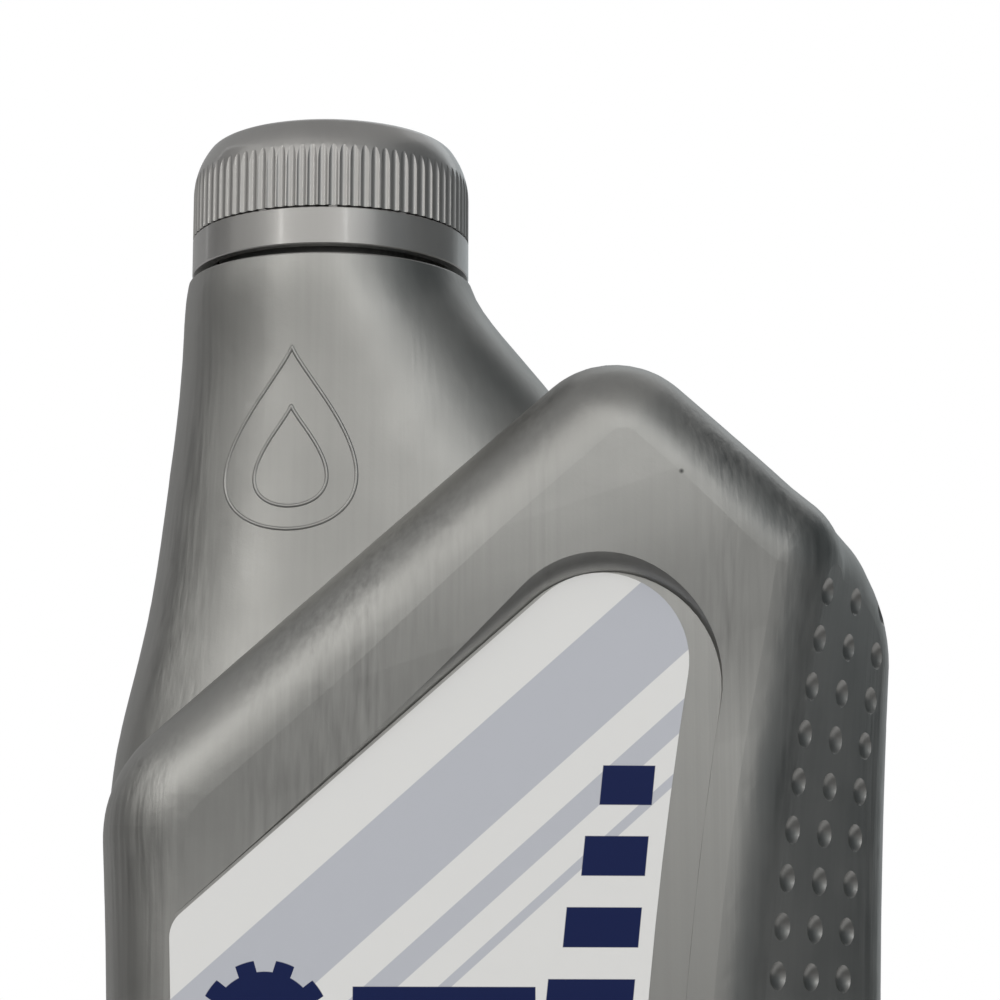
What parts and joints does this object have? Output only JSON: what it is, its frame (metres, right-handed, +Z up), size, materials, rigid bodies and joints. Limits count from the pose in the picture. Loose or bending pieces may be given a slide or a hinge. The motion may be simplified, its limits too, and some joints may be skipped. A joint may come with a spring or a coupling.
{
  "type": "gear oil bottle",
  "caption": "Hollow blow-moulded oil bottle with an offset funnel neck, a slanted shoulder, a sunk label panel, a dimpled grip edge and a screw cap over a tamper ring.",
  "frame": {"origin": "middle of the footprint, on the surface that the bottle stands on", "axes": "+X towards the grip edge, -Y out of the labelled front, +Z up towards the cap"},
  "size_m": [0.1112, 0.0652, 0.2401],
  "materials": {
    "bottle_plastic": "satin silver grey",
    "cap_plastic": "satin silver grey, a little glossier",
    "liner_foam": "matt white foam",
    "label_film": "printed film, satin"
  },
  "bodies": {
    "bottle": {"bottle": "bottle_plastic", "tamper_ring": "cap_plastic", "front_label": "label_film"},
    "liner": {"cap_liner": "liner_foam"},
    "cap": {"cap": "cap_plastic"}
  },
  "joints": [
    {"name": "cap_rise", "type": "slide", "parent": "bottle", "child": "liner", "axis": [0, 0, 1], "range_m": [0, 0.00635]},
    {"name": "cap_turn", "type": "hinge", "parent": "liner", "child": "cap", "pos_m": [-0.0255, 0, 0.2333], "axis": [0, 0, 1], "range_deg": [0, 540]}
  ],
  "couplings": [
    {"joint": "cap_turn", "follows": "cap_rise", "rad_per_m": 1484.2}
  ]
}
